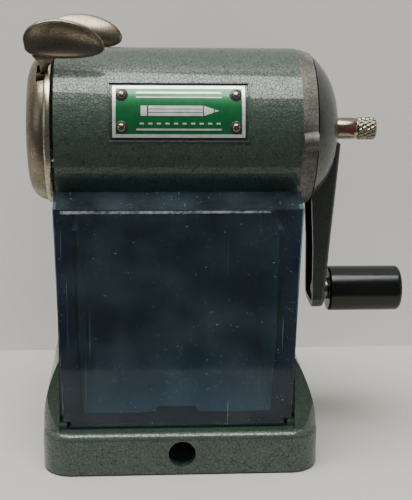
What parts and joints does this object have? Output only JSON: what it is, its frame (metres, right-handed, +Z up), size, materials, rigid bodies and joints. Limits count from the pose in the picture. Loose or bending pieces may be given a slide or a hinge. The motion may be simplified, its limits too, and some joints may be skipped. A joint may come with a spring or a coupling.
{
  "type": "desk pencil sharpener",
  "caption": "Crank-driven desk pencil sharpener with a sprung self-feeding clamp, a planetary milling cutter, a point adjuster and a see-through shavings drawer.",
  "frame": {"origin": "on the desk under the middle of the whole sharpener, crank and clamp included", "axes": "+X along the crank axis towards the crank, -Y towards the user, +Z up"},
  "size_m": [0.1211, 0.067, 0.1384],
  "materials": {
    "hammer_green": "hammertone enamel",
    "green_gloss": "glossy enamel",
    "cast_grey": "sand-cast zinc, unpainted",
    "nickel": "tarnished nickel plate",
    "bright_nickel": "polished nickel plate",
    "steel": "turned and hardened steel",
    "bronze": "sintered bronze",
    "smoke_blue": "transparent blue polystyrene",
    "black_green": "polished phenolic plastic",
    "badge": "green lacquer on embossed aluminium",
    "feet_rubber": "matt"
  },
  "bodies": {
    "frame": {"housing": "hammer_green", "gear_plate": "cast_grey", "front_bush": "bronze", "rear_bush": "bronze", "name_plate": "badge", "plate_rivets": "bright_nickel", "rubber_feet": "feet_rubber"},
    "face": {"face_cup": "nickel", "clamp_plate": "steel", "pivot_pins": "steel", "clamp_spring": "steel", "guide_rods": "steel", "rod_collars": "steel", "feed_springs": "steel"},
    "ear_front": {"ear_lever_front": "nickel"},
    "ear_rear": {"ear_lever_rear": "nickel"},
    "crank": {"crank_arm": "green_gloss", "cutter_carrier": "steel", "cutter_axle": "steel", "thrust_washer": "bronze", "lock_nut": "steel", "handle_axle": "bright_nickel"},
    "cutter": {"milling_cutter": "steel", "cutter_pinion": "steel"},
    "handle": {"handle_grip": "black_green"},
    "knob": {"point_knob": "bright_nickel"},
    "stop": {"stop_rod": "steel"},
    "drawer": {"shavings_drawer": "smoke_blue"}
  },
  "joints": [
    {"name": "face_pull", "type": "slide", "parent": "frame", "child": "face", "axis": [-1, 0, 0], "range_m": [0, 0.015], "stiffness_N_per_m": 150, "springref_m": -0.02, "deforming": ["feed_springs"]},
    {"name": "ear_squeeze", "type": "hinge", "parent": "face", "child": "ear_front", "pos_m": [-0.0551, -0.009, 0.116], "axis": [-1, 0, 0], "range_deg": [0, 12], "stiffness_Nm_per_rad": 0.15, "springref_deg": -22.92, "deforming": ["clamp_spring"]},
    {"name": "ear_rear_squeeze", "type": "hinge", "parent": "face", "child": "ear_rear", "pos_m": [-0.0551, 0.009, 0.116], "axis": [1, 0, 0], "range_deg": [0, 12], "stiffness_Nm_per_rad": 0.15, "springref_deg": -22.92},
    {"name": "crank_turn", "type": "hinge", "parent": "frame", "child": "crank", "pos_m": [0, 0, 0.104], "axis": [1, 0, 0], "continuous": true},
    {"name": "cutter_spin", "type": "hinge", "parent": "crank", "child": "cutter", "pos_m": [0.01, 0, 0.09737], "axis": [0.9799, 0, 0.1994], "continuous": true},
    {"name": "handle_spin", "type": "hinge", "parent": "crank", "child": "handle", "pos_m": [0.0367, 0, 0.0503], "axis": [1, 0, 0], "continuous": true},
    {"name": "knob_turn", "type": "hinge", "parent": "crank", "child": "knob", "pos_m": [0.0372, 0, 0.104], "axis": [1, 0, 0], "range_deg": [-360, 360]},
    {"name": "stop_slide", "type": "slide", "parent": "crank", "child": "stop", "axis": [-1, 0, 0], "range_m": [-0.00071, 0.00071]},
    {"name": "drawer_slide", "type": "slide", "parent": "frame", "child": "drawer", "axis": [0, -1, 0], "range_m": [0, 0.055]}
  ],
  "couplings": [
    {"joint": "ear_rear_squeeze", "follows": "ear_squeeze", "ratio": 1},
    {"joint": "cutter_spin", "follows": "crank_turn", "ratio": -2.75},
    {"joint": "stop_slide", "follows": "knob_turn", "m_per_rad": 0.00011141}
  ]
}
